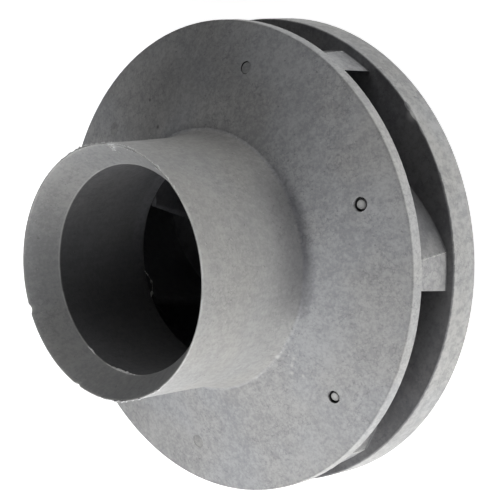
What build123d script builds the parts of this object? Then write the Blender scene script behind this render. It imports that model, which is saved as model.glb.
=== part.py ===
from build123d import *
import math
import os

# Closed centrifugal pump impeller with a long suction neck.
# Two mouldings are joined face to face: the front shroud with its neck, and the rear shroud
# that carries the vanes. A brass threaded insert is moulded into the rear hub.
# The axis of rotation is Z. The origin is at the centre of the hub boss's end face, on which
# the impeller stands, and +Z points to the suction eye. The first vane's pin lies on +X.
# Lengths are in millimetres and angles in degrees.

# Shrouds
impeller_diameter = 117.5
front_rim_thickness = 3.4
front_face_rise = 7.9
front_floor_rise = 7.7
passage_width = 12.0
rear_rim_thickness = 8.2
rim_edge_round = 0.4

# Suction neck and eye
neck_height = 40.8
neck_rim_diameter = 60.9
neck_root_diameter = 63.7
neck_land_length = 15.0
neck_draft_angle = 0.8
neck_flare_height = 9.0
neck_corner_round = 1.2
eye_bore_diameter = 50.4
eye_bevel_depth = 7.2
eye_lip_width = 0.25
eye_throat_round = 0.8

# Vanes: the centreline of one blade and its section
vane_count = 6
vane_tip_diameter = 113.2
vane_inlet_diameter_at_hub = 44.0
vane_inlet_diameter_at_shroud = 50.4
vane_inlet_angle = 30.5
vane_outlet_angle = 23.5
vane_root_thickness = 3.7
vane_draft_angle = 2.4
vane_root_round = 0.25
vane_root_depth = 1.0
vane_stations = 9

# Pins that locate the front shroud on the vanes, each melted into its hole by a different amount
pin_circle_diameter = 96.0
pin_diameter = 2.1
pin_head_height = 1.5

# One row a vane: turn of the hole from its vane, diameter of the hole, diameter of the pin's end,
# turn of the pin from its hole, depth of the end below the face and chamfer of the end
vane_pins = [
    (-0.7, 3.5, 2.3, 0, 0.45, 0.2),
    (-1.3, 3.1, 2.75, -0.2, 0.1, 0.08),
    (0, 3.5, 3.5, 0, 0.02, 0.06),
    (0, 3.5, 2.3, 0, 0.4, 0.2),
    (0.3, 3.4, 3.34, 0, 0.04, 0.08),
    (0.4, 3.1, 2.1, 0, 0.4, 0.2),
]

# Rear shroud's back, hub boss and nose
back_recess_depth = 4.0
back_rim_land = 7.0
back_recess_round = 1.5
boss_diameter = 42.0
boss_height = 6.0
boss_edge_round = 0.8
seat_diameter = 31.8
seat_depth = 8.0
seat_chamfer = 0.8
nose_top_diameter = 19.0
nose_height = 11.0
nose_draft_angle = 8.0
nose_top_round = 2.5
nose_root_round = 6.0

# Threaded insert
insert_flange_diameter = 15.9
insert_flange_thickness = 1.5
insert_across_flats = 14.3
insert_groove_diameter = 12.7
insert_groove_width = 2.4
insert_cover = 1.8
insert_sides = 6
thread_diameter = 11.11
thread_depth = 11.0
thread_chamfer = 0.7
drill_point_angle = 118.0

# Knocks on the moulded edges: angle from the first pin, width and depth
neck_rim_knocks = [(-178.5, 2.6, 0.5), (-132.7, 2.0, 0.4), (68.0, 3.2, 0.75)]
rear_rim_knocks = [(20.3, 3.4, 0.55), (17.9, 4.6, 0.4)]

# Heights on the axis, worked out from the sizes above
rear_back_z = boss_height
rear_floor_z = rear_back_z + rear_rim_thickness
front_rim_back_z = rear_floor_z + passage_width
front_rim_front_z = front_rim_back_z + front_rim_thickness
front_floor_z = front_rim_back_z + front_floor_rise
neck_root_z = front_rim_front_z + front_face_rise
neck_rim_z = front_rim_front_z + neck_height
recess_floor_z = rear_back_z + back_recess_depth
nose_top_z = rear_floor_z + nose_height
insert_top_z = nose_top_z - insert_cover

# Radii
rim_radius = impeller_diameter / 2
neck_rim_radius = neck_rim_diameter / 2
neck_root_radius = neck_root_diameter / 2
bore_radius = eye_bore_diameter / 2
vane_tip_radius = vane_tip_diameter / 2
pin_circle_radius = pin_circle_diameter / 2

# The front shroud is as thick at its rim as on its cone, so both faces have the same slope
face_slope = front_face_rise / (rim_radius - neck_root_radius)
floor_knee_radius = rim_radius - front_floor_rise / face_slope
position_tolerance = 0.01


def front_face_height(radius):
    """Height of the front shroud's outer cone at a radius."""
    return front_rim_front_z + (rim_radius - radius) * face_slope


def front_floor_height(radius):
    """Height of the front shroud's inner cone at a radius outside its flat floor."""
    return front_rim_back_z + (rim_radius - radius) * face_slope


def outline_face(*edges):
    """Closed face from the edges of a half section."""
    return make_face(Curve() + list(edges)).face()


def half_section(points):
    """Face in the XZ plane from (radius, height) points joined by straight lines."""
    corners = [(radius, 0, height) for radius, height in points]
    return outline_face(Polyline(*corners, close=True))


def rounded(face, radius, *corners):
    """Face with the corners nearest the given (radius, height) points rounded."""
    for corner in corners:
        near = face.vertices().sort_by_distance(Vector(corner[0], 0, corner[1]))[0]
        face = face.fillet_2d(radius, [near])
    return face


def chamfered(face, size, corner):
    """Face with the corner nearest the given (radius, height) point chamfered."""
    near = face.vertices().sort_by_distance(Vector(corner[0], 0, corner[1]))[0]
    return face.chamfer_2d(size, size, [near])


def turned(face):
    """Solid of revolution of a half section about the Z axis."""
    return revolve(face, axis=Axis.Z)


def around(solid, count):
    """Copies of a solid at equal angles about the Z axis."""
    return [Rot(0, 0, index * 360 / count) * solid for index in range(count)]


def edge_knock(angle, radius, height, width, depth):
    """Ball that leaves a shallow scoop in an edge that faces out and up."""
    ball_radius = (width**2 / 4 + depth**2) / (2 * depth)
    lift = (ball_radius - depth) / math.sqrt(2)
    return Rot(0, 0, angle) * Pos(radius + lift, 0, height + lift) * Sphere(ball_radius)


# Front shroud
def front_shroud_section():
    """Half section of the neck, its bevelled eye and the conical shroud."""
    flare_top_z = neck_root_z + neck_flare_height
    land_end_z = neck_rim_z - neck_land_length
    draft = math.radians(neck_draft_angle)
    flare_top_radius = neck_rim_radius + (land_end_z - flare_top_z) * math.tan(draft)
    lip_outer = (neck_rim_radius, 0, neck_rim_z)
    land_end = (neck_rim_radius, 0, land_end_z)
    lip_inner = (neck_rim_radius - eye_lip_width, 0, neck_rim_z)
    bevel_end = (bore_radius, 0, neck_rim_z - eye_bevel_depth)
    throat = (bore_radius, 0, front_floor_z)
    knee = (floor_knee_radius, 0, front_floor_z)
    rim_back = (rim_radius, 0, front_rim_back_z)
    rim_front = (rim_radius, 0, front_rim_front_z)
    root = (neck_root_radius, 0, neck_root_z)
    flare_top = (flare_top_radius, 0, flare_top_z)
    face = outline_face(
        Polyline(flare_top, land_end, lip_outer, lip_inner, bevel_end, throat, knee, rim_back, rim_front, root),
        TangentArc(flare_top, root, tangent=(math.sin(draft), 0, -math.cos(draft))),
    )
    face = rounded(face, neck_corner_round, (neck_root_radius, neck_root_z))
    face = rounded(face, eye_throat_round, (bore_radius, front_floor_z))
    return rounded(face, rim_edge_round, (rim_radius, front_rim_back_z), (rim_radius, front_rim_front_z))


def front_shroud():
    """Neck and front shroud with the six pin holes and the knocks in the neck's rim."""
    solid = turned(front_shroud_section())
    hole_height = neck_root_z - front_rim_back_z
    low = (Align.CENTER, Align.CENTER, Align.MIN)
    for angle, (_, diameter, *_) in zip(hole_angles(), vane_pins):
        hole = Cylinder(diameter / 2, hole_height, align=low)
        solid -= Rot(0, 0, angle) * Pos(pin_circle_radius, 0, front_rim_back_z) * hole
    for angle, width, depth in neck_rim_knocks:
        solid -= edge_knock(angle, neck_rim_radius, neck_rim_z, width, depth)
    return solid


# Vanes
def vane_angle_terms():
    """Constants of the blade law cot(angle) = fixed + rate * radius."""
    inlet_radius = vane_inlet_diameter_at_shroud / 2
    inlet_cot = 1 / math.tan(math.radians(vane_inlet_angle))
    outlet_cot = 1 / math.tan(math.radians(vane_outlet_angle))
    rate = (outlet_cot - inlet_cot) / (vane_tip_radius - inlet_radius)
    return inlet_cot - rate * inlet_radius, rate


def vane_station(radius):
    """Centreline point of the first vane at a radius, and its outward and sideways directions."""
    fixed, rate = vane_angle_terms()
    turn = -fixed * math.log(radius / pin_circle_radius) - rate * (radius - pin_circle_radius)
    blade = math.atan(1 / (fixed + rate * radius))
    point = Vector(radius * math.cos(turn), radius * math.sin(turn), 0)
    heading = turn + blade - math.pi / 2
    forward = Vector(math.cos(heading), math.sin(heading), 0)
    side = Vector(-math.sin(heading), math.cos(heading), 0)
    return point, forward, side


def vane_section(inlet_radius, thickness, height):
    """Outline of the blade at a height, from its rounded nose to past its tip."""
    half = thickness / 2
    last_radius = vane_tip_radius + vane_root_thickness
    step = (last_radius - inlet_radius) / (vane_stations - 1)
    stations = [vane_station(inlet_radius + index * step) for index in range(vane_stations)]
    outer = [point + side * half for point, forward, side in stations]
    inner = [point - side * half for point, forward, side in stations]
    nose_point, nose_forward, nose_side = stations[0]
    nose = nose_point - nose_forward * half
    face = outline_face(
        Spline(*outer),
        Line(outer[-1], inner[-1]),
        Spline(*reversed(inner)),
        ThreePointArc(inner[0], nose, outer[0]),
    )
    return Pos(0, 0, height) * face


def vane_space():
    """Space between the shrouds that a vane fills, out to the vane tips."""
    low_z = rear_floor_z - vane_root_depth
    return turned(
        half_section(
            [
                (0, low_z),
                (vane_tip_radius, low_z),
                (vane_tip_radius, front_floor_height(vane_tip_radius)),
                (floor_knee_radius, front_floor_z),
                (0, front_floor_z),
            ]
        )
    )


def vane():
    """One blade, thinner towards the front shroud, with its nose swept back at the hub."""
    low_z = rear_floor_z - vane_root_depth
    loss = 2 * math.tan(math.radians(vane_draft_angle))
    root_thickness = vane_root_thickness + loss * vane_root_depth
    top_thickness = vane_root_thickness - loss * (front_floor_z - rear_floor_z)
    root = vane_section(vane_inlet_diameter_at_hub / 2, root_thickness, low_z)
    top = vane_section(vane_inlet_diameter_at_shroud / 2, top_thickness, front_floor_z)
    return loft([root, top], ruled=True) & vane_space()


def hole_angles():
    """Angles of the pin holes from the X axis."""
    return [index * 360 / vane_count + turn for index, (turn, *_) in enumerate(vane_pins)]


def below_front_face(depth):
    """Space under the front shroud's outer cone, lowered by a depth."""
    return turned(
        half_section(
            [
                (0, rear_floor_z),
                (rim_radius, rear_floor_z),
                (rim_radius, front_face_height(rim_radius) - depth),
                (0, front_face_height(0) - depth),
            ]
        )
    )


def locating_pin(end_diameter, depth, end_chamfer):
    """Pin that rises from a vane on +X into its hole, with its end at a depth below the face."""
    low = (Align.CENTER, Align.CENTER, Align.MIN)
    length = neck_root_z - rear_floor_z
    head_z = front_face_height(pin_circle_radius) - pin_head_height
    pin = Pos(pin_circle_radius, 0, rear_floor_z) * Cylinder(pin_diameter / 2, length, align=low)
    pin += Pos(pin_circle_radius, 0, head_z) * Cylinder(end_diameter / 2, neck_root_z - head_z, align=low)
    pin &= below_front_face(depth)
    return chamfer(pin.edges().group_by(Axis.Z)[-1], end_chamfer)


# Threaded insert
def insert_blank():
    """Outside of the insert: a round flange, then a hexagon with a groove that locks it in."""
    low = (Align.CENTER, Align.CENTER, Align.MIN)
    flange = Cylinder(insert_flange_diameter / 2, insert_flange_thickness, align=low)
    key_z = seat_depth + insert_flange_thickness
    key_length = insert_top_z - key_z
    hexagon = RegularPolygon(insert_across_flats / 2, insert_sides, major_radius=False)
    key = extrude(Pos(0, 0, key_z) * hexagon, key_length)
    groove = Cylinder(insert_across_flats, insert_groove_width, align=low)
    groove -= Cylinder(insert_groove_diameter / 2, insert_groove_width, align=low)
    groove_z = key_z + (key_length - insert_groove_width) / 2
    return Pos(0, 0, seat_depth) * flange + (key - Pos(0, 0, groove_z) * groove)


def thread_hole():
    """Blind hole for the shaft's thread, with its lead-in and drill point."""
    radius = thread_diameter / 2
    bottom_z = seat_depth + thread_depth
    point_z = bottom_z + radius / math.tan(math.radians(drill_point_angle / 2))
    return turned(
        half_section(
            [
                (0, seat_depth),
                (radius + thread_chamfer, seat_depth),
                (radius, seat_depth + thread_chamfer),
                (radius, bottom_z),
                (0, point_z),
            ]
        )
    )


def threaded_insert():
    """Brass insert that takes the motor shaft's thread."""
    return insert_blank() - thread_hole()


# Rear shroud
def rear_shroud_section():
    """Half section of the rear shroud, its recessed back, the hub boss and the nose."""
    boss_radius = boss_diameter / 2
    seat_radius = seat_diameter / 2
    land_radius = rim_radius - back_rim_land
    nose_radius = nose_top_diameter / 2
    nose_root_radius = nose_radius + nose_height * math.tan(math.radians(nose_draft_angle))
    face = half_section(
        [
            (0, seat_depth),
            (seat_radius, seat_depth),
            (seat_radius, 0),
            (boss_radius, 0),
            (boss_radius, recess_floor_z),
            (land_radius, recess_floor_z),
            (land_radius, rear_back_z),
            (rim_radius, rear_back_z),
            (rim_radius, rear_floor_z),
            (nose_root_radius, rear_floor_z),
            (nose_radius, nose_top_z),
            (0, nose_top_z),
        ]
    )
    face = rounded(face, nose_top_round, (nose_radius, nose_top_z))
    face = rounded(face, nose_root_round, (nose_root_radius, rear_floor_z))
    face = rounded(face, back_recess_round, (boss_radius, recess_floor_z), (land_radius, recess_floor_z))
    face = rounded(face, boss_edge_round, (boss_radius, 0))
    face = chamfered(face, seat_chamfer, (seat_radius, 0))
    return rounded(
        face,
        rim_edge_round,
        (land_radius, rear_back_z),
        (rim_radius, rear_back_z),
        (rim_radius, rear_floor_z),
    )


def vane_root_edges(solid):
    """Curved edges where the vanes' sides and noses stand on the rear shroud."""
    return ShapeList(
        edge
        for edge in solid.edges().filter_by(GeomType.BSPLINE)
        if abs(edge.center().Z - rear_floor_z) < position_tolerance
    )


def vaned_rear_shroud():
    """Rear shroud with its vanes and pins, moulded round the threaded insert."""
    solid = turned(rear_shroud_section())
    for blade in around(vane(), vane_count):
        solid += blade
    solid = fillet(vane_root_edges(solid), vane_root_round)
    for angle, (_, _, end_diameter, lean, depth, end_chamfer) in zip(hole_angles(), vane_pins):
        solid += Rot(0, 0, angle + lean) * locating_pin(end_diameter, depth, end_chamfer)
    for angle, width, depth in rear_rim_knocks:
        solid -= edge_knock(angle, rim_radius, rear_floor_z, width, depth)
    return solid - insert_blank()


nodes = {
    "front_shroud": front_shroud(),
    "vaned_rear_shroud": vaned_rear_shroud(),
    "threaded_insert": threaded_insert(),
}

os.makedirs("parts", exist_ok=True)
for name, solid in nodes.items():
    export_step(solid, "parts/" + name + ".step")
    print(name, "volume", round(solid.volume, 1), "mm3")
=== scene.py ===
"""Pump impeller: finishes, thread, weld flash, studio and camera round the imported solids.

All lengths are metres in the part's own frame: +Z along the axis towards the suction eye,
+X through the first vane's pin, z = 0 on the floor that the hub boss stands on.
"""

import logging
import math
from collections.abc import Callable
from dataclasses import dataclass, field
from enum import Enum

import bmesh
import bpy
from mathutils import Matrix, Vector, noise


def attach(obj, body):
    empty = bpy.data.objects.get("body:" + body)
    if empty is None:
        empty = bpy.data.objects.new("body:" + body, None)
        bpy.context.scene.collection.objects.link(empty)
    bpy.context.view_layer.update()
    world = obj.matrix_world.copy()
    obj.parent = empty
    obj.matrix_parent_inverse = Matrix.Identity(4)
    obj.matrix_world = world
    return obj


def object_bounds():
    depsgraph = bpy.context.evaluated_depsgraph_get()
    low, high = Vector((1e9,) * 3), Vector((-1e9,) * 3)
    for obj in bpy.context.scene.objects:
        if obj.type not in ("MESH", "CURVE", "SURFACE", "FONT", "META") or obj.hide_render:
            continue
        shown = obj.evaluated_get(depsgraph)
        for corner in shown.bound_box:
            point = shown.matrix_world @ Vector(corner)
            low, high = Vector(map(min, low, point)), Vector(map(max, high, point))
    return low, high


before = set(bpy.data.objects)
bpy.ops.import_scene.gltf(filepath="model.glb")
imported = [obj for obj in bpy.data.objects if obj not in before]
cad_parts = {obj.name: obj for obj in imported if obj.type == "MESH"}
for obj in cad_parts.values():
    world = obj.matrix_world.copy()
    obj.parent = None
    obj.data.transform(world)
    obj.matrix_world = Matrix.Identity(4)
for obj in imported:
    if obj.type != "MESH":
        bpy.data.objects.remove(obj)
cad_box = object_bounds()

log = logging.getLogger("impeller")

MM = 0.001
ROOT = "root"
RIM_RADIUS = cad_box[1][0]
NECK_RIM = cad_box[1][2]
Colour = tuple[float, float, float]
Rows = list[list[Vector]]
Socket = bpy.types.NodeSocket
Axis = tuple[Socket, Socket]
TURNED_RIM: Colour = (1.24, 1.24, 1.23)


class Slot(Enum):
    """Names for material slots, which this script gives to no material."""

    FRONT = "front_moulding"
    REAR = "rear_moulding"
    INSERT = "insert_brass"


@dataclass(frozen=True)
class Grain:
    """Noise with so many features a metre, how many finer layers it has and how strong they are."""

    scale: float
    detail: float = 3.0
    rough: float = 0.55


@dataclass(frozen=True)
class Ring:
    """Circle about the axis, such as a moulded edge."""

    radius: float
    height: float
    width: float
    share: float = 0.45


@dataclass(frozen=True)
class Spot:
    """Small place on the surface, given by its angle, radius and height."""

    angle: float
    radius: float
    height: float
    size: float

    def point(self) -> Vector:
        """Centre of the spot."""
        turn = math.radians(self.angle)
        return Vector((self.radius * math.cos(turn), self.radius * math.sin(turn), self.height))


@dataclass(frozen=True)
class Zone:
    """Stretch of surface between two radii and two heights that takes another colour."""

    colour: Colour
    inner: float = 0.0
    outer: float = 1.0
    low: float = -1.0
    high: float = 1.0
    soft: float = 0.4 * MM
    fade: float = 0.0


@dataclass(frozen=True)
class PaintedLightAndShade:
    """Patch of painted shade, darker, or of painted light, paler, round the crease where the neck meets the
    disc, strongest at one angle.
    """

    colour: Colour
    radius: float
    height: float
    reach_up: float
    reach_out: float
    angle: float
    spread: float

    def limit(self) -> float:
        """Cosine at which the painted patch ends."""
        return math.cos(math.radians(self.spread))


@dataclass(frozen=True)
class Arc:
    """Flash along an edge between two angles, and how thick it is or how far it stands out."""

    name: str
    first: float
    last: float
    size: float

    def angle(self, share: float) -> float:
        """Angle at a share of the arc's length."""
        return self.first + (self.last - self.first) * share


@dataclass(frozen=True)
class Shred:
    """Torn sliver on the bevel, from one radius and angle to another."""

    name: str
    start: tuple[float, float]
    end: tuple[float, float]


class NodeSheet:
    """Short calls that add and link shader nodes in one material or world."""

    def __init__(self, tree: bpy.types.NodeTree) -> None:
        """Start from the emptied node tree of a material or world."""
        self.tree = tree
        tree.nodes.clear()

    def add(self, kind: str, **settings: object) -> bpy.types.Node:
        """Add a node.

        Args:
            kind: node type name, such as "ShaderNodeTexNoise".
            settings: node properties, such as operation.

        Returns:
            The new node.
        """
        made = self.tree.nodes.new(kind)
        for name, value in settings.items():
            setattr(made, name, value)
        return made

    def plug(self, value: object, socket: Socket) -> None:
        """Feed a socket from another socket, or set it to a constant.

        Args:
            value: socket or constant.
            socket: input that takes it.
        """
        if isinstance(value, Socket):
            self.tree.links.new(value, socket)
        else:
            socket.default_value = value

    def place(self) -> Socket:
        """Position in the part's frame, in metres."""
        return self.add("ShaderNodeTexCoord").outputs["Object"]

    def sums(self, operation: str, *values: object) -> Socket:
        """Result of a Math node.

        Args:
            operation: name of the operation, such as "MULTIPLY".
            values: sockets or numbers, in order.

        Returns:
            The result's socket.
        """
        made = self.add("ShaderNodeMath", operation=operation)
        for value, socket in zip(values, made.inputs):
            self.plug(value, socket)
        return made.outputs[0]

    def grain(self, place: Socket, kind: Grain) -> Socket:
        """Noise from 0 to 1.

        Args:
            place: position socket.
            kind: fineness of the noise.

        Returns:
            The noise's socket.
        """
        made = self.add("ShaderNodeTexNoise")
        self.plug(place, made.inputs["Vector"])
        made.inputs["Scale"].default_value = kind.scale
        made.inputs["Detail"].default_value = kind.detail
        made.inputs["Roughness"].default_value = kind.rough
        return made.outputs[0]

    def spread(self, value: Socket, low: float, high: float, out_low: float, out_high: float) -> Socket:
        """Value moved smoothly from one range to another, and held at its ends.

        Args:
            value: socket to move.
            low: value at which the first range starts.
            high: value at which it ends.
            out_low: result at low.
            out_high: result at high.

        Returns:
            The result's socket.
        """
        made = self.add("ShaderNodeMapRange", interpolation_type="SMOOTHSTEP")
        for number, entry in zip((value, low, high, out_low, out_high), made.inputs):
            self.plug(number, entry)
        return made.outputs[0]

    def blend(self, share: object, first: object, second: object, how: str = "MIX") -> Socket:
        """Colour mixed from two others.

        Args:
            share: socket or number from 0, all first, to 1, all second.
            first: colour or socket.
            second: colour or socket.
            how: blend type.

        Returns:
            The mixed colour's socket.
        """
        made = self.add("ShaderNodeMix", data_type="RGBA", blend_type=how)
        self.plug(share, made.inputs["Factor"])
        for value, name in ((first, "A"), (second, "B")):
            entry = next(s for s in made.inputs if s.name == name and s.type == "RGBA")
            self.plug(value if isinstance(value, Socket) else (*value, 1.0), entry)
        return next(s for s in made.outputs if s.type == "RGBA")

    def from_axis(self, place: Socket) -> Axis:
        """Distance from the axis, and height.

        Args:
            place: position socket.

        Returns:
            The two sockets.
        """
        split = self.add("ShaderNodeSeparateXYZ")
        self.plug(place, split.inputs[0])
        square = self.sums("ADD", self.sums("POWER", split.outputs[0], 2.0),
                           self.sums("POWER", split.outputs[1], 2.0))
        return self.sums("SQRT", square), split.outputs[2]

    def near_ring(self, axis: Axis, ring: Ring) -> Socket:
        """Mask that is 1 on a ring and falls to 0 at its width.

        Args:
            axis: sockets from from_axis.
            ring: the circle.

        Returns:
            The mask's socket.
        """
        out = self.sums("POWER", self.sums("SUBTRACT", axis[0], ring.radius), 2.0)
        up = self.sums("POWER", self.sums("SUBTRACT", axis[1], ring.height), 2.0)
        return self.spread(self.sums("SQRT", self.sums("ADD", out, up)), 0.0, ring.width, 1.0, 0.0)

    def in_zone(self, axis: Axis, zone: Zone) -> Socket:
        """Mask that is 1 inside a zone and falls to 0 over its soft edge.

        Args:
            axis: sockets from from_axis.
            zone: the stretch of surface.

        Returns:
            The mask's socket.
        """
        half = zone.soft / 2
        limits = (
            self.spread(axis[0], zone.inner - half, zone.inner + half, 0.0, 1.0),
            self.spread(axis[0], zone.outer - half - zone.fade, zone.outer + half, 1.0, 0.0),
            self.spread(axis[1], zone.low - half, zone.low + half, 0.0, 1.0),
            self.spread(axis[1], zone.high - half, zone.high + half, 1.0, 0.0),
        )
        mask = limits[0]
        for limit in limits[1:]:
            mask = self.sums("MULTIPLY", mask, limit)
        return mask

    def in_crease(self, place: Socket, axis: Axis, painted_patch: PaintedLightAndShade) -> Socket:
        """Mask that is 1 in the crease at the painted patch's angle and fades away from it.

        Args:
            place: position socket.
            axis: sockets from from_axis.
            painted_patch: the patch of painted light and shade.

        Returns:
            The mask's socket.
        """
        turn = math.radians(painted_patch.angle)
        along = self.add("ShaderNodeVectorMath", operation="DOT_PRODUCT")
        self.plug(place, along.inputs[0])
        along.inputs[1].default_value = (math.cos(turn), math.sin(turn), 0.0)
        cosine = self.sums("DIVIDE", along.outputs["Value"], axis[0])
        around = self.spread(cosine, painted_patch.limit(), 1.0, 0.0, 1.0)
        up = self.spread(axis[1], painted_patch.height, painted_patch.height + painted_patch.reach_up, 1.0, 0.0)
        out = self.spread(axis[0], painted_patch.radius, painted_patch.radius + painted_patch.reach_out, 1.0, 0.0)
        return self.sums("MULTIPLY", self.sums("MULTIPLY", up, out), around)

    def near_spot(self, place: Socket, spot: Spot, core: float = 0.0) -> Socket:
        """Mask that is 1 in a spot's core and falls to 0 at its size.

        Args:
            place: position socket.
            spot: the place on the surface.
            core: share of its size that the core takes.

        Returns:
            The mask's socket.
        """
        gap = self.add("ShaderNodeVectorMath", operation="DISTANCE")
        self.plug(place, gap.inputs[0])
        gap.inputs[1].default_value = spot.point()
        return self.spread(gap.outputs["Value"], spot.size * core, spot.size, 1.0, 0.0)

    def bump(self, height: Socket, depth: float, strength: float, under: Socket | None = None) -> Socket:
        """Normal from a height field.

        Args:
            height: height socket, from 0 to 1.
            depth: length that a height of 1 stands for, in metres.
            strength: share of the relief that shows.
            under: normal from a coarser bump, if there is one.

        Returns:
            The normal's socket.
        """
        made = self.add("ShaderNodeBump")
        made.inputs["Strength"].default_value = strength
        made.inputs["Distance"].default_value = depth
        self.plug(height, made.inputs["Height"])
        if under is not None:
            self.plug(under, made.inputs["Normal"])
        return made.outputs[0]

    def surface(self, shader: Socket) -> None:
        """Make a shader the material's surface."""
        self.plug(shader, self.add("ShaderNodeOutputMaterial").inputs["Surface"])


@dataclass(frozen=True)
class MouldedPlastic:
    """Matte grey plastic with short glass fibre in it, as it leaves the mould."""

    name: str
    pale: Colour = (0.356, 0.356, 0.353)
    deep: Colour = (0.256, 0.257, 0.260)
    wear_and_highlight: Colour = (0.65, 0.65, 0.64)
    speck_pale: Colour = (0.50, 0.50, 0.49)
    speck_deep: Colour = (0.12, 0.12, 0.12)
    roughness: float = 0.50
    cool: Colour = (0.990, 1.0, 1.016)
    warm: Colour = (1.008, 1.0, 0.984)
    cloud_share: float = 0.22
    mottle_share: float = 0.36
    contrast: float = 0.125
    relief: float = 0.25
    crease_shade: Colour = (0.74, 0.74, 0.75)
    streaks: float = 0.0
    clouds: Grain = Grain(60.0, 4.0)
    mottles: Grain = Grain(450.0, 4.0, 0.6)
    fibres: Grain = Grain(1300.0, 2.0, 0.6)
    worm_lines: Grain = Grain(480.0, 2.0, 0.6)
    worm_patches: Grain = Grain(70.0, 2.0)
    tint_patches: Grain = Grain(38.0, 2.0)
    pale_dots: Grain = Grain(1500.0, 1.0)
    deep_dots: Grain = Grain(1100.0, 1.0)
    wear_and_highlight_patches: Grain = Grain(240.0, 3.0)
    gloss_patches: Grain = Grain(600.0, 2.0)
    waves: Grain = Grain(65.0, 2.0)
    pebbles: Grain = Grain(900.0, 3.0, 0.6)
    pores: Grain = Grain(2200.0, 2.0)
    streak_grain: Grain = Grain(1.6, 3.0)
    wave_depth: float = 0.30 * MM
    worm_depth: float = 0.05 * MM
    pebble_depth: float = 0.10 * MM
    pore_depth: float = 0.02 * MM
    streaks_around: float = 14.0
    streaks_along: float = 120.0
    smooth_share: float = 0.32
    hollow_core: float = 0.9
    smooth: Zone | None = None
    zones: tuple[Zone, ...] = ()
    painted_light_and_shade: tuple[PaintedLightAndShade, ...] = ()
    worn_highlit_edges: tuple[Ring, ...] = ()
    chips: tuple[Spot, ...] = ()
    pits: tuple[Spot, ...] = ()
    hollows: tuple[Spot, ...] = ()
    hollow_shade: Colour = (0.12, 0.12, 0.12)

    def creases(self, sheet: NodeSheet, place: Socket) -> Socket:
        """Mask of the fine worm-like lines in the moulded skin, which gather in patches.

        Args:
            sheet: node sheet of the material.
            place: position socket.

        Returns:
            The mask's socket.
        """
        wander = sheet.sums("ABSOLUTE", sheet.sums("SUBTRACT", sheet.grain(place, self.worm_lines), 0.5))
        patches = sheet.spread(sheet.grain(place, self.worm_patches), 0.40, 0.60, 0.35, 1.0)
        return sheet.sums("MULTIPLY", sheet.spread(wander, 0.0, 0.035, 0.85, 0.0), patches)

    def flow(self, sheet: NodeSheet, place: Socket, axis: Axis) -> Socket:
        """Streaks that run out from the axis, as the plastic flowed in the mould.

        Args:
            sheet: node sheet of the material.
            place: position socket.
            axis: sockets from from_axis.

        Returns:
            Socket of a small value to add to the mottling.
        """
        split = sheet.add("ShaderNodeSeparateXYZ")
        sheet.plug(place, split.inputs[0])
        turn = sheet.sums("ARCTAN2", split.outputs[1], split.outputs[0])
        polar = sheet.add("ShaderNodeCombineXYZ")
        sheet.plug(sheet.sums("MULTIPLY", turn, self.streaks_around), polar.inputs[0])
        sheet.plug(sheet.sums("MULTIPLY", axis[0], self.streaks_along), polar.inputs[1])
        sheet.plug(sheet.sums("MULTIPLY", axis[1], self.streaks_along), polar.inputs[2])
        streaked = sheet.grain(polar.outputs[0], self.streak_grain)
        return sheet.spread(streaked, 0.35, 0.65, -self.streaks, self.streaks)

    def mottling(self, sheet: NodeSheet, place: Socket, axis: Axis) -> Socket:
        """Even skin of the plastic, from deep to pale, with its creases and its slight tints.

        Args:
            sheet: node sheet of the material.
            place: position socket.
            axis: sockets from from_axis.

        Returns:
            Colour socket.
        """
        fibre_share = 1.0 - self.cloud_share - self.mottle_share
        mixed = sheet.sums("ADD", sheet.sums("MULTIPLY", sheet.grain(place, self.clouds), self.cloud_share),
                           sheet.sums("MULTIPLY", sheet.grain(place, self.mottles), self.mottle_share))
        mixed = sheet.sums("ADD", mixed, sheet.sums("MULTIPLY", sheet.grain(place, self.fibres), fibre_share))
        if self.streaks:
            mixed = sheet.sums("ADD", mixed, self.flow(sheet, place, axis))
        share = sheet.spread(mixed, 0.5 - self.contrast, 0.5 + self.contrast, 0.0, 1.0)
        shade = sheet.blend(share, self.deep, self.pale)
        shade = sheet.blend(self.creases(sheet, place), shade, self.crease_shade, "MULTIPLY")
        drift = sheet.spread(sheet.grain(place, self.tint_patches), 0.38, 0.62, 0.0, 1.0)
        return sheet.blend(1.0, shade, sheet.blend(drift, self.cool, self.warm), "MULTIPLY")

    def specks(self, sheet: NodeSheet, place: Socket, shade: Socket) -> Socket:
        """Skin with the pale and dark specks of the glass fibre.

        Args:
            sheet: node sheet of the material.
            place: position socket.
            shade: colour of the skin.

        Returns:
            Colour socket.
        """
        pale_specks = sheet.spread(sheet.grain(place, self.pale_dots), 0.72, 0.80, 0.0, 0.45)
        shade = sheet.blend(pale_specks, shade, self.speck_pale)
        deep_specks = sheet.spread(sheet.grain(place, self.deep_dots), 0.28, 0.22, 0.0, 0.5)
        return sheet.blend(deep_specks, shade, self.speck_deep)

    def marks(self, sheet: NodeSheet, place: Socket, axis: Axis, shade: Socket) -> Socket:
        """Skin with its edges paler from wear and painted highlight, chips, pits, and painted shade in deep
        hollows.

        Args:
            sheet: node sheet of the material.
            place: position socket.
            axis: sockets from from_axis.
            shade: colour of the skin.

        Returns:
            Colour socket.
        """
        # Edges paler from wear and from painted highlight, in patches.
        patchy = sheet.spread(sheet.grain(place, self.wear_and_highlight_patches), 0.35, 0.62, 0.3, 1.0)
        for ring in self.worn_highlit_edges:
            strength = sheet.sums("MULTIPLY", patchy, ring.share)
            share = sheet.sums("MULTIPLY", sheet.near_ring(axis, ring), strength)
            shade = sheet.blend(share, shade, self.wear_and_highlight)
        for chip in self.chips:
            shade = sheet.blend(sheet.near_spot(place, chip), shade, self.speck_pale)
        for pit in self.pits:
            shade = sheet.blend(sheet.near_spot(place, pit), shade, self.speck_deep)
        # Painted shade inside the open pin holes.
        for hollow in self.hollows:
            inside = sheet.near_spot(place, hollow, self.hollow_core)
            shade = sheet.blend(inside, shade, self.hollow_shade, "MULTIPLY")
        return shade

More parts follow.
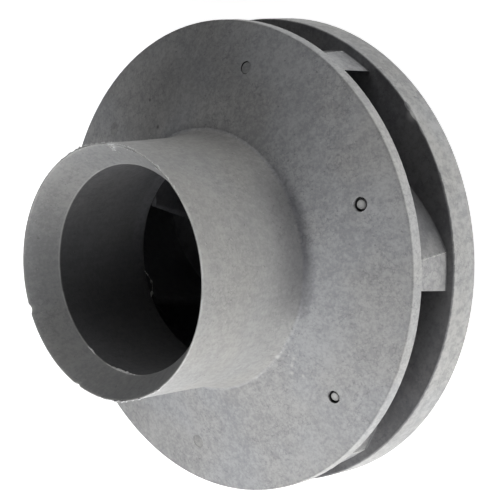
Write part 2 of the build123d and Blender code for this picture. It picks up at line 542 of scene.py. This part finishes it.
    def colour(self, sheet: NodeSheet, place: Socket) -> Socket:
        """Whole colour: skin, specks, zones, painted light and shade at the neck's root, and marks.

        Args:
            sheet: node sheet of the material.
            place: position socket.

        Returns:
            Colour socket.
        """
        axis = sheet.from_axis(place)
        shade = self.mottling(sheet, place, axis)
        if self.smooth:
            even = tuple((dark + light) / 2 for dark, light in zip(self.deep, self.pale))
            share = sheet.sums("MULTIPLY", sheet.in_zone(axis, self.smooth), self.smooth_share)
            shade = sheet.blend(share, shade, even)
        shade = self.specks(sheet, place, shade)
        for zone in self.zones:
            shade = sheet.blend(sheet.in_zone(axis, zone), shade, zone.colour, "MULTIPLY")
        # Painted shade and painted light round the crease at the neck's root.
        for painted_patch in self.painted_light_and_shade:
            shade = sheet.blend(sheet.in_crease(place, axis, painted_patch), shade, painted_patch.colour, "MULTIPLY")
        return self.marks(sheet, place, axis, shade)

    def relief_normal(self, sheet: NodeSheet, place: Socket) -> Socket:
        """Normal with slow waves, worm lines, pebbles and pores laid over each other.

        Args:
            sheet: node sheet of the material.
            place: position socket.

        Returns:
            The normal's socket.
        """
        waves = sheet.bump(sheet.grain(place, self.waves), self.wave_depth, 0.3)
        skin = sheet.sums("SUBTRACT", 1.0, self.creases(sheet, place))
        worms = sheet.bump(skin, self.worm_depth, self.relief, waves)
        pebbles = sheet.bump(sheet.grain(place, self.pebbles), self.pebble_depth, self.relief, worms)
        return sheet.bump(sheet.grain(place, self.pores), self.pore_depth, 0.35, pebbles)

    def build(self) -> bpy.types.Material:
        """Make the material.

        Returns:
            The new material.
        """
        material = bpy.data.materials.new(self.name)
        material.use_nodes = True
        sheet = NodeSheet(material.node_tree)
        place = sheet.place()
        shader = sheet.add("ShaderNodeBsdfPrincipled")
        sheet.plug(self.colour(sheet, place), shader.inputs["Base Color"])
        rough = sheet.spread(sheet.grain(place, self.gloss_patches), 0.3, 0.7, self.roughness - 0.07,
                             self.roughness + 0.08)
        sheet.plug(rough, shader.inputs["Roughness"])
        sheet.plug(self.relief_normal(sheet, place), shader.inputs["Normal"])
        shader.inputs["Specular IOR Level"].default_value = 0.5
        sheet.surface(shader.outputs[0])
        return material


@dataclass(frozen=True)
class TurnedBrass:
    """Brass with the fine rings of a lathe tool and some dulling."""

    name: str
    bright: Colour = (0.72, 0.54, 0.25)
    dull: Colour = (0.47, 0.34, 0.17)
    ring_pitch: float = 0.12 * MM
    ring_depth: float = 0.012 * MM
    tarnish: Grain = Grain(320.0, 4.0)
    scratches: Grain = Grain(1500.0, 2.0)
    scratch_depth: float = 0.01 * MM

    def build(self) -> bpy.types.Material:
        """Make the material.

        Returns:
            The new material.
        """
        material = bpy.data.materials.new(self.name)
        material.use_nodes = True
        sheet = NodeSheet(material.node_tree)
        place = sheet.place()
        radius = sheet.from_axis(place)[0]
        dulled = sheet.spread(sheet.grain(place, self.tarnish), 0.35, 0.68, 0.0, 1.0)
        turned = sheet.sums("SINE", sheet.sums("MULTIPLY", radius, math.tau / self.ring_pitch))
        shader = sheet.add("ShaderNodeBsdfPrincipled")
        sheet.plug(sheet.blend(dulled, self.bright, self.dull), shader.inputs["Base Color"])
        shader.inputs["Metallic"].default_value = 1.0
        sheet.plug(sheet.spread(dulled, 0.0, 1.0, 0.26, 0.45), shader.inputs["Roughness"])
        fine = sheet.bump(sheet.grain(place, self.scratches), self.scratch_depth, 0.3)
        sheet.plug(sheet.bump(turned, self.ring_depth, 0.5, fine), shader.inputs["Normal"])
        sheet.surface(shader.outputs[0])
        return material


@dataclass(frozen=True)
class WhiteSweep:
    """Plain white studio floor that shows white to the camera and keeps the shadow."""

    name: str = "white_sweep"
    base: Colour = (0.80, 0.80, 0.80)
    glow: float = 0.85

    def build(self) -> bpy.types.Material:
        """Make the material.

        Returns:
            The new material.
        """
        material = bpy.data.materials.new(self.name)
        material.use_nodes = True
        sheet = NodeSheet(material.node_tree)
        rays = sheet.add("ShaderNodeLightPath")
        seen = sheet.sums("MAXIMUM", rays.outputs["Is Camera Ray"], rays.outputs["Is Glossy Ray"])
        seen = sheet.sums("MAXIMUM", seen, rays.outputs["Is Transmission Ray"])
        matt = sheet.add("ShaderNodeBsdfDiffuse")
        matt.inputs["Color"].default_value = (*self.base, 1.0)
        glow = sheet.add("ShaderNodeEmission")
        sheet.plug(sheet.sums("MULTIPLY", seen, self.glow), glow.inputs["Strength"])
        both = sheet.add("ShaderNodeAddShader")
        sheet.plug(matt.outputs[0], both.inputs[0])
        sheet.plug(glow.outputs[0], both.inputs[1])
        sheet.surface(both.outputs[0])
        return material


def dress(node: str, material: bpy.types.Material) -> bpy.types.Object:
    """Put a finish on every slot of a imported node.

    Args:
        node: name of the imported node.
        material: the finish.

    Returns:
        The node's object.
    """
    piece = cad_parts[node]
    if not piece.material_slots:
        piece.data.materials.append(material)
    for entry in piece.material_slots:
        entry.material = material
    return piece


def grid_piece(name: str, rows: Rows, closed: bool = False) -> bpy.types.Object:
    """Mesh piece from rows of points, each row a loop round the section.

    Args:
        name: name of the piece.
        rows: sections in order along the piece, with equal counts.
        closed: True where the last section joins the first.

    Returns:
        The new object, smooth shaded.
    """
    mesh = bpy.data.meshes.new(name)
    work = bmesh.new()
    made = [[work.verts.new(point) for point in row] for row in rows]
    turns = len(made) if closed else len(made) - 1
    width = len(made[0])
    for index in range(turns):
        here, there = made[index], made[(index + 1) % len(made)]
        for step in range(width):
            after = (step + 1) % width
            work.faces.new((here[step], here[after], there[after], there[step]))
    if not closed:
        work.faces.new(list(reversed(made[0])))
        work.faces.new(made[-1])
    bmesh.ops.recalc_face_normals(work, faces=work.faces)
    for face in work.faces:
        face.smooth = True
    work.to_mesh(mesh)
    work.free()
    piece = bpy.data.objects.new(name, mesh)
    bpy.context.scene.collection.objects.link(piece)
    return piece


LUMPS_A_METRE = 900.0
CRUMBS_A_METRE = 2600.0
THREAD_SHARE = 0.08
BEAD_SIDES = 6


def ragged_bead(name: str, path: Callable[[float], Vector], thick: float, seed: float,
                steps: int = 140, top: float = 1.0) -> bpy.types.Object:
    """Thin bead of flash that swells and breaks off along a path.

    Args:
        name: name of the piece.
        path: place on the bead's line at a share of its length, from 0 to 1.
        thick: radius of its thickest lumps, in metres.
        seed: start of the lumps in the noise.
        steps: sections along the bead.
        top: height that no point of it passes.

    Returns:
        The bead's object.
    """
    turns = [math.tau * side / BEAD_SIDES for side in range(BEAD_SIDES)]
    rows: Rows = []
    for index in range(steps + 1):
        share = index / steps
        here = path(share)
        ahead = (path(min(1.0, share + 0.01)) - path(max(0.0, share - 0.01))).normalized()
        across = ahead.orthogonal().normalized()
        upward = ahead.cross(across)
        lump = noise.noise(here * LUMPS_A_METRE + Vector((seed, 0.0, 0.0)))
        lump += 0.6 * noise.noise(here * CRUMBS_A_METRE)
        taper = max(0.05, math.sin(math.pi * share)) ** 0.3
        reach = thick * (THREAD_SHARE + max(0.0, 0.25 + 1.1 * lump)) * taper
        rows.append([here + across * (reach * math.cos(turn)) + upward * (reach * math.sin(turn))
                     for turn in turns])
        for point in rows[-1]:
            point.z = min(point.z, top)
    return grid_piece(name, rows)


def at_angle(radius: float, angle: float, height: float) -> Vector:
    """Point at a radius, an angle in degrees and a height."""
    return Vector((radius * math.cos(math.radians(angle)), radius * math.sin(math.radians(angle)), height))


def join_root(piece: bpy.types.Object, material: bpy.types.Material) -> None:
    """Give a new piece its finish and its body.

    Args:
        piece: the piece.
        material: the finish.
    """
    piece.data.materials.append(material)
    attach(piece, ROOT)


@dataclass(frozen=True)
class PinHole:
    """Pin hole whose pin does not fill it, at an angle on the pin circle; its inside takes painted shade."""

    angle: float
    size: float
    circle: float = 48.0 * MM
    face: float = 32.76 * MM
    floor: float = 29.36 * MM

    def wall(self) -> Spot:
        """Ball of painted shade that takes in the hole's wall and not the face round it."""
        drop = 0.9 * MM
        return Spot(self.angle, self.circle, self.face - drop, math.hypot(self.size, drop) - 0.02 * MM)

    def bottom(self) -> Spot:
        """Ball of painted shade that takes in the vane's top and the pin's foot inside the hole."""
        return Spot(self.angle, self.circle, self.floor, self.size + 0.5 * MM)


OPEN_PIN_HOLES = (PinHole(-0.7, 1.75 * MM), PinHole(180.0, 1.75 * MM), PinHole(300.4, 1.55 * MM),
                  PinHole(58.7, 1.55 * MM))


@dataclass
class FrontShroud:
    """Neck and front shroud: finish, edges paler from wear and painted highlight, and the flash on its edges.
    """

    node: str = "front_shroud"
    rim_radius: float = RIM_RADIUS
    rim_front: float = 29.6 * MM
    neck_radius: float = 30.45 * MM
    neck_rim: float = NECK_RIM
    bore_radius: float = 25.2 * MM
    bevel_end: float = 63.2 * MM
    throat_height: float = 34.5 * MM
    root_radius: float = 31.95 * MM
    root_height: float = 37.5 * MM
    fin_thickness: float = 0.10 * MM
    throat_sag_in: float = 0.5 * MM
    throat_sag_down: float = 1.2 * MM
    root_seam: Arc = Arc("neck_root_flash", -92.0, -56.0, 0.16 * MM)
    rim_seams: tuple[Arc, ...] = (
        Arc("neck_rim_flash_upper", 20.0, 104.0, 0.48 * MM),
        Arc("neck_rim_flash_lower", -120.0, -74.0, 0.48 * MM),
    )
    rim_shreds: tuple[Shred, ...] = (
        Shred("neck_rim_shred_one", (30.3 * MM, 71.5), (28.2 * MM, 67.0)),
        Shred("neck_rim_shred_two", (30.3 * MM, 65.5), (28.9 * MM, 69.5)),
        Shred("neck_rim_shred_three", (30.35 * MM, -134.5), (29.9 * MM, -130.5)),
    )
    eye_seams: tuple[Arc, ...] = (
        Arc("eye_edge_flash_long", -131.0, -106.0, 0.45 * MM),
        Arc("eye_edge_flash_short", -148.0, -140.0, 0.30 * MM),
    )
    throat_seam: Arc = Arc("throat_flash", 171.5, 187.0, 0.60 * MM)
    chips: tuple[Spot, ...] = (
        Spot(68.0, 29.9 * MM, 70.0 * MM, 2.2 * MM),
        Spot(-132.7, 30.3 * MM, 70.2 * MM, 1.4 * MM),
        Spot(-178.5, 30.3 * MM, 70.2 * MM, 1.6 * MM),
        Spot(23.3, 25.4 * MM, 63.2 * MM, 0.9 * MM),
        Spot(12.2, 25.4 * MM, 63.2 * MM, 0.9 * MM),
        Spot(-62.8, 32.0 * MM, 37.5 * MM, 0.9 * MM),
        Spot(-58.2, 35.3 * MM, 36.5 * MM, 0.6 * MM),
        Spot(-61.3, 35.9 * MM, 36.3 * MM, 0.7 * MM),
        Spot(-63.8, 36.9 * MM, 36.0 * MM, 0.7 * MM),
        Spot(-61.3, 39.4 * MM, 35.3 * MM, 0.6 * MM),
    )
    pits: tuple[Spot, ...] = (
        Spot(69.5, 29.4 * MM, 69.0 * MM, 0.9 * MM),
        Spot(98.8, 36.5 * MM, 36.0 * MM, 0.9 * MM),
        Spot(100.5, 44.7 * MM, 33.7 * MM, 0.6 * MM),
    )

    def worn_highlit_edges(self) -> tuple[Ring, ...]:
        """Edges that are paler than the faces beside them, from wear and from a painted highlight where they
        catch the light.

        Returns:
            The edges as rings.
        """
        return (
            Ring(self.neck_radius, self.neck_rim, 0.90 * MM, 0.5),
            Ring(self.bore_radius, self.bevel_end, 0.42 * MM, 0.4),
        )

    def zones(self) -> tuple[Zone, ...]:
        """Turned rim and disc, paler, the neck, warmer, and the bore, darker with painted shade.

        Returns:
            The zones, in the order in which they are laid on.
        """
        return (
            Zone(TURNED_RIM, inner=self.rim_radius - 0.3 * MM, high=self.rim_front, soft=0.3 * MM),
            Zone((1.165, 1.17, 1.19), inner=self.root_radius, outer=self.rim_radius - 0.4 * MM,
                 low=self.rim_front, high=self.root_height + 0.5 * MM, soft=0.6 * MM),
            Zone((1.05, 1.04, 1.015), inner=self.neck_radius - 0.3 * MM, outer=self.root_radius,
                 low=self.root_height, soft=0.6 * MM),
            # Painted shade on the bore's wall inside the eye.
            Zone((0.43, 0.43, 0.45), outer=self.bore_radius + 0.1 * MM, high=self.bevel_end - 0.3 * MM),
        )

    def painted_light_and_shade(self) -> tuple[PaintedLightAndShade, ...]:
        """Painted shade low on the neck at its right and its top, where the crease is shaded, and painted
        light on the disc behind its top, where the neck's shadow falls.

        Returns:
            The stains, in the order in which they are laid on.
        """
        radius, height = self.root_radius, self.root_height
        return (
            # Painted shade in the crease at the right and on the neck's top, and painted light on the disc
            # behind the neck's top.
            PaintedLightAndShade((0.42, 0.42, 0.44), radius, height, 12.0 * MM, 4.0 * MM, -7.0, 42.0),
            PaintedLightAndShade((0.70, 0.70, 0.71), radius, height, 11.0 * MM, 2.6 * MM, 84.0, 64.0),
            PaintedLightAndShade((1.17, 1.17, 1.17), radius, height, 1.5 * MM, 18.0 * MM, 108.0, 70.0),
        )

    def root_bead(self) -> bpy.types.Object:
        """Thin broken bead of flash in the crease at the neck's root.

        Returns:
            The bead's object.
        """
        seam = self.root_seam
        radius, height = self.root_radius, self.root_height
        return ragged_bead(seam.name, lambda share: at_angle(radius, seam.angle(share), height),
                           seam.size, 3.0, 200)

    def rim_bead(self, seam: Arc) -> bpy.types.Object:
        """Bead of flash along the neck's rim.

        Args:
            seam: stretch of the rim that it stands on.

        Returns:
            The bead's object.
        """
        radius, height = self.neck_radius - 0.01 * MM, self.neck_rim - 0.10 * MM
        return ragged_bead(seam.name, lambda share: at_angle(radius, seam.angle(share), height),
                           seam.size, seam.first, 300, self.neck_rim)

    def shred(self, torn: Shred) -> bpy.types.Object:
        """Torn sliver of plastic that lies on the bevel.

        Args:
            torn: where it starts and ends.

        Returns:
            The sliver's object.
        """
        slope = (self.neck_rim - self.bevel_end) / (self.neck_radius - self.bore_radius)

        def path(share: float) -> Vector:
            """Point just above the bevel.

            Args:
                share: share of the sliver's length.

            Returns:
                The point.
            """
            radius = torn.start[0] + (torn.end[0] - torn.start[0]) * share
            angle = torn.start[1] + (torn.end[1] - torn.start[1]) * share
            return at_angle(radius, angle, self.bevel_end + (radius - self.bore_radius) * slope + 0.04 * MM)

        return ragged_bead(torn.name, path, 0.36 * MM, torn.end[1], 60, self.neck_rim)

    def eye_fin(self, seam: Arc) -> bpy.types.Object:
        """Thin fin of flash that stands in from the bore's edge, widest at its middle.

        Args:
            seam: stretch of the edge, with how far the fin's middle stands in.

        Returns:
            The fin's object.
        """
        steps = 90
        outer, thick = self.bore_radius + self.fin_thickness, self.fin_thickness
        rows: Rows = []
        for index in range(steps + 1):
            share = index / steps
            ragged = 1.0 + 0.8 * noise.noise(Vector((share * 14.0, seam.first, 0.0)))
            inner = self.bore_radius - 0.02 * MM - seam.size * math.sin(math.pi * share) ** 1.5 * ragged
            angle = seam.angle(share)
            section = ((outer, thick), (inner, thick * 0.4), (inner, -thick * 0.4), (outer, -thick))
            rows.append([at_angle(radius, angle, self.bevel_end + rise) for radius, rise in section])
        return grid_piece(seam.name, rows)

    def throat_sliver(self) -> bpy.types.Object:
        """Torn sliver on the edge where the bore opens into the vanes, held at both its ends.

        Returns:
            The sliver's object.
        """
        seam = self.throat_seam

        def path(share: float) -> Vector:
            """Point on the sliver, which sags away from the wall at its middle.

            Args:
                share: share of the sliver's length.

            Returns:
                The point.
            """
            sag = math.sin(math.pi * share)
            return at_angle(self.bore_radius + 0.05 * MM - self.throat_sag_in * sag, seam.angle(share),
                            self.throat_height - self.throat_sag_down * sag)

        return ragged_bead(seam.name, path, seam.size, 5.0, 70)

    def build(self) -> list[bpy.types.Object]:
        """Dress the node and add its flash.

        Returns:
            The pieces of this sub-assembly.
        """
        calm = Zone((1.0, 1.0, 1.0), outer=self.root_radius, low=self.root_height, soft=1.0 * MM)
        # The hollows are painted shade in the open pin holes.
        finish = MouldedPlastic("front_shroud_plastic", smooth=calm, streaks=0.03, zones=self.zones(),
                                painted_light_and_shade=self.painted_light_and_shade(), worn_highlit_edges=self.worn_highlit_edges(), chips=self.chips, pits=self.pits,
                                hollows=tuple(hole.wall() for hole in OPEN_PIN_HOLES)).build()
        flash = MouldedPlastic("flash_plastic", pale=(0.74, 0.74, 0.73), deep=(0.60, 0.60, 0.59)).build()
        pieces = [self.root_bead()]
        pieces += [self.rim_bead(seam) for seam in self.rim_seams]
        pieces += [self.shred(torn) for torn in self.rim_shreds]
        pieces += [self.eye_fin(seam) for seam in self.eye_seams]
        pieces.append(self.throat_sliver())
        for piece in pieces:
            join_root(piece, flash)
        return [dress(self.node, finish), *pieces]


@dataclass
class VanedRearShroud:
    """Rear shroud with its vanes: finish, edges paler from wear and painted highlight, and the flash on the
    vane tips.
    """

    node: str = "vaned_rear_shroud"
    rim_radius: float = RIM_RADIUS
    rim_front: float = 14.2 * MM
    rim_back: float = 6.0 * MM
    boss_radius: float = 21.0 * MM
    tip_radius: float = 56.6 * MM
    vane_count: int = 6
    pin_inner: float = 45.5 * MM
    hub_shade_radius: float = 38.0 * MM
    pin_neck: float = 30.6 * MM
    passage_shade: Colour = (0.45, 0.45, 0.47)
    tip_edge_low: tuple[float, float] = (-16.21, 14.5 * MM)
    tip_edge_high: tuple[float, float] = (-17.55, 26.8 * MM)
    chips: tuple[Spot, ...] = (
        Spot(18.0, 58.7 * MM, 14.2 * MM, 2.6 * MM),
        Spot(-0.5, 48.1 * MM, 32.4 * MM, 1.5 * MM),
        Spot(-59.4, 48.1 * MM, 32.4 * MM, 1.5 * MM),
    )

    def worn_highlit_edges(self) -> tuple[Ring, ...]:
        """Edges that are paler than the faces beside them, from wear and from a painted highlight where they
        catch the light.

        Returns:
            The edges as rings.
        """
        return (
            Ring(self.rim_radius, self.rim_back, 0.5 * MM),
            Ring(self.boss_radius, 0.0, 0.8 * MM),
        )

    def zones(self) -> tuple[Zone, ...]:
        """Turned rim and vane tips, paler, and painted shade on the faces of the passages, darker towards the
        hub.

        Returns:
            The zones, in the order in which they are laid on.
        """
        above = self.rim_front + 0.5 * MM
        return (
            Zone(TURNED_RIM, inner=self.rim_radius - 0.3 * MM, high=self.rim_front, soft=0.3 * MM),
            # Painted shade on the rear shroud's face by the rim and in the passages under the front shroud.
            Zone(self.passage_shade, outer=self.rim_radius - 0.1 * MM, low=self.rim_front - 0.4 * MM, high=above,
                 soft=0.2 * MM),
            Zone(self.passage_shade, inner=self.pin_inner, outer=self.tip_radius + 3.5 * MM, low=above,
                 high=self.pin_neck, soft=0.2 * MM, fade=9.0 * MM),
            Zone((1.32, 1.32, 1.32), inner=self.tip_radius - 0.12 * MM, low=above,
                 high=self.rim_front + 13.0 * MM, soft=0.15 * MM),
            # Painted shade deeper in the passages, darkest towards the hub.
            Zone(self.passage_shade, outer=self.pin_inner, low=above, soft=0.2 * MM),
            Zone((0.50, 0.50, 0.51), outer=self.hub_shade_radius, low=above, soft=0.2 * MM, fade=12.0 * MM),
        )

    def tip_flash(self, index: int) -> bpy.types.Object:
        """Bead of flash on the outer edge of one vane's tip.

        Args:
            index: number of the vane, from the one whose pin lies on +X.

        Returns:
            The bead's object.
        """
        low, high = self.tip_edge_low, self.tip_edge_high
        turn = 360.0 / self.vane_count * index

        def path(share: float) -> Vector:
            """Point on the tip's outer edge, at a share of its length from the rear shroud."""
            angle = turn + low[0] + (high[0] - low[0]) * share
            return at_angle(self.tip_radius, angle, low[1] + (high[1] - low[1]) * share)

        return ragged_bead("vane_tip_flash_" + str(index + 1), path, 0.26 * MM, 11.0 * index + 2.0, 90)

    def build(self) -> list[bpy.types.Object]:
        """Dress the node and add the flash on its vane tips.

        Returns:
            The pieces of this sub-assembly.
        """
        # The hollows are painted shade at the bottoms of the open pin holes.
        finish = MouldedPlastic("rear_shroud_plastic", mottle_share=0.52, contrast=0.09, zones=self.zones(),
                                worn_highlit_edges=self.worn_highlit_edges(), chips=self.chips,
                                hollows=tuple(hole.bottom() for hole in OPEN_PIN_HOLES)).build()
        flash = MouldedPlastic("tip_flash_plastic", pale=(0.60, 0.60, 0.59), deep=(0.48, 0.48, 0.47)).build()
        pieces = [self.tip_flash(index) for index in range(self.vane_count)]
        for piece in pieces:
            join_root(piece, flash)
        return [dress(self.node, finish), *pieces]


@dataclass
class ThreadedInsert:
    """Brass insert, with the turns of its thread cut as real ridges."""

    node: str = "threaded_insert"
    major_radius: float = 5.555 * MM
    minor_radius: float = 4.96 * MM
    pitch: float = 25.4 / 20 * MM
    start: float = 8.9 * MM
    end: float = 18.4 * MM
    steps_a_turn: int = 48
    bite: float = 0.05 * MM
    root_share: float = 0.42
    crest_share: float = 0.07
    run_out_rate: float = 1.5
    least_depth: float = 0.02

    def thread(self) -> bpy.types.Object:
        """Helical ridge inside the hole, with a flat crest.

        Returns:
            The thread's object.
        """
        turns = (self.end - self.start) / self.pitch
        count = int(turns * self.steps_a_turn)
        half_root, half_crest = self.root_share * self.pitch, self.crest_share * self.pitch
        rows: Rows = []
        for index in range(count + 1):
            share = index / count
            turn = math.tau * turns * share
            fade = min(1.0, share * turns * self.run_out_rate, (1 - share) * turns * self.run_out_rate)
            inner = self.major_radius - (self.major_radius - self.minor_radius) * max(fade, self.least_depth)
            outer = self.major_radius + self.bite
            height = self.start + (self.end - self.start) * share
            section = ((outer, -half_root), (inner, -half_crest), (inner, half_crest), (outer, half_root))
            rows.append([Vector((radius * math.cos(turn), radius * math.sin(turn), height + rise))
                         for radius, rise in section])
        return grid_piece("insert_thread", rows)

    def build(self) -> list[bpy.types.Object]:
        """Dress the node and add its thread.

        Returns:
            The pieces of this sub-assembly.
        """
        finish = TurnedBrass("insert_turned_brass").build()
        thread = self.thread()
        join_root(thread, finish)
        return [dress(self.node, finish), thread]


def add_lamp(name: str, wide: float, high: float, watts: float) -> bpy.types.Object:
    """Add a soft rectangular lamp that shines along its own -Z.

    Args:
        name: name of the lamp.
        wide: size along its X.
        high: size along its Y.
        watts: power.

    Returns:
        The lamp's object.
    """
    data = bpy.data.lights.new(name, "AREA")
    data.shape = "RECTANGLE"
    data.size = wide
    data.size_y = high
    data.energy = watts
    lamp = bpy.data.objects.new(name, data)
    bpy.context.scene.collection.objects.link(lamp)
    return lamp


@dataclass(frozen=True)
class Lamp:
    """Soft lamp at a compass angle and a height angle from the part, facing it."""

    name: str
    azimuth: float
    elevation: float
    watts: float
    wide: float = 0.35
    high: float = 0.35
    distance: float = 0.7

    def build(self, target: Vector) -> bpy.types.Object:
        """Add the lamp.

        Args:
            target: point that it faces.

        Returns:
            The lamp's object.
        """
        lamp = add_lamp(self.name, self.wide, self.high, self.watts)
        turn, lift = math.radians(self.azimuth), math.radians(self.elevation)
        away = Vector((math.cos(turn) * math.cos(lift), math.sin(turn) * math.cos(lift), math.sin(lift)))
        lamp.location = target + away * self.distance
        lamp.rotation_mode = "QUATERNION"
        lamp.rotation_quaternion = away.to_track_quat("Z", "Y")
        return lamp


@dataclass(frozen=True)
class FloorLamp:
    """Low lamp beside the part that faces down and brightens the floor."""

    name: str
    azimuth: float
    reach: float
    height: float
    deep: float
    wide: float
    watts: float

    def build(self) -> bpy.types.Object:
        """Add the lamp.

        Returns:
            The lamp's object.
        """
        lamp = add_lamp(self.name, self.deep, self.wide, self.watts)
        turn = math.radians(self.azimuth)
        lamp.location = (self.reach * math.cos(turn), self.reach * math.sin(turn), self.height)
        lamp.rotation_euler = (0.0, 0.0, turn)
        return lamp


@dataclass
class Studio:
    """White floor, soft lamps and an even pale surround."""

    centre: Vector = field(default_factory=lambda: Vector((0.0, 0.0, 0.03)))
    floor_size: float = 12.0
    floor_drop: float = 0.05 * MM
    surround: float = 0.03
    lamps: tuple[Lamp, ...] = (
        Lamp("key_lamp", 240.0, 50.0, 0.23, 0.14, 0.14, 0.32),
        Lamp("second_lamp", 270.0, 50.0, 0.33, 0.14, 0.14, 0.32),
        Lamp("low_lamp", 240.0, 22.0, 1.10, 0.2, 0.2),
        Lamp("back_lamp", 90.0, 30.0, 0.77),
        Lamp("back_side_lamp", 65.0, 45.0, 0.10),
        Lamp("back_low_lamp", 60.0, 12.0, 0.22, 0.2, 0.2),
        Lamp("near_strip", 270.0, 2.5, 1.72, 0.5, 0.1),
        Lamp("side_strip", 345.0, 2.5, 1.55, 0.5, 0.1),
    )
    floor_lamps: tuple[FloorLamp, ...] = (
        FloorLamp("floor_lamp_left", 225.0, 0.27, 0.11, 0.22, 0.22, 0.26),
        FloorLamp("floor_lamp_near", 315.0, 0.20, 0.01, 0.25, 0.20, 0.15),
        FloorLamp("floor_lamp_right", 0.0, 0.20, 0.01, 0.25, 0.20, 0.19),
    )

    def floor(self) -> bpy.types.Object:
        """Add the floor.

        Returns:
            The floor's object.
        """
        half = self.floor_size / 2
        mesh = bpy.data.meshes.new("studio_floor")
        corners = [(-half, -half, 0.0), (half, -half, 0.0), (half, half, 0.0), (-half, half, 0.0)]
        mesh.from_pydata(corners, [], [(0, 1, 2, 3)])
        floor = bpy.data.objects.new("studio_floor", mesh)
        floor.location.z = -self.floor_drop
        bpy.context.scene.collection.objects.link(floor)
        mesh.materials.append(WhiteSweep().build())
        return floor

    def world(self) -> None:
        """Give the world an even light, and white where the camera sees it."""
        world = bpy.data.worlds.new("studio_surround")
        bpy.context.scene.world = world
        world.use_nodes = True
        sheet = NodeSheet(world.node_tree)
        rays = sheet.add("ShaderNodeLightPath")
        back = sheet.add("ShaderNodeBackground")
        back.inputs["Color"].default_value = (1.0, 1.0, 1.0, 1.0)
        strength = sheet.spread(rays.outputs["Is Camera Ray"], 0.0, 1.0, self.surround, 1.0)
        sheet.plug(strength, back.inputs["Strength"])
        sheet.plug(back.outputs[0], sheet.add("ShaderNodeOutputWorld").inputs["Surface"])

    def build(self) -> None:
        """Add the floor, the world and the lamps."""
        self.floor()
        self.world()
        for lamp in self.lamps:
            lamp.build(self.centre)
        for lamp in self.floor_lamps:
            lamp.build()


@dataclass
class PhotoCamera:
    """Camera at the photograph's viewing angle: the axis lies across the picture, eye to the left."""

    from_axis: float = 43.18
    azimuth: float = -10.3
    roll: float = -7.645
    distance: float = 530.6 * MM
    aim_height: float = 29.6 * MM
    slide_right: float = 5.46 * MM
    slide_up: float = 1.64 * MM
    lens: float = 153.45
    sensor: float = 36.0

    def build(self) -> bpy.types.Object:
        """Add the camera and make it the scene's.

        Returns:
            The camera's object.
        """
        tilt, turn, lean = (math.radians(v) for v in (self.from_axis, self.azimuth, self.roll))
        back = Vector((math.sin(tilt) * math.cos(turn), math.sin(tilt) * math.sin(turn), math.cos(tilt)))
        level = Vector((-math.sin(turn), math.cos(turn), 0.0)).cross(back).normalized()
        rise = back.cross(level)
        right = math.cos(lean) * level + math.sin(lean) * rise
        up = math.cos(lean) * rise - math.sin(lean) * level
        data = bpy.data.cameras.new("photo_camera")
        data.lens = self.lens
        data.sensor_width = self.sensor
        data.clip_start = 0.01
        data.clip_end = 50.0
        camera = bpy.data.objects.new("photo_camera", data)
        bpy.context.scene.collection.objects.link(camera)
        place = Vector((0.0, 0.0, self.aim_height)) + back * self.distance
        place += right * self.slide_right + up * self.slide_up
        camera.matrix_world = Matrix((right, up, back)).transposed().to_4x4()
        camera.location = place
        bpy.context.scene.camera = camera
        return camera


def main() -> None:
    """Dress the impeller, then add the studio and the camera."""
    logging.basicConfig(level=logging.INFO, format="%(name)s: %(message)s")
    for assembly in (FrontShroud(), VanedRearShroud(), ThreadedInsert()):
        for piece in assembly.build():
            log.info("%s: %s", type(assembly).__name__, piece.name)
    Studio().build()
    PhotoCamera().build()
    bpy.context.scene.view_settings.view_transform = "Standard"


if __name__ == "__main__":
    main()
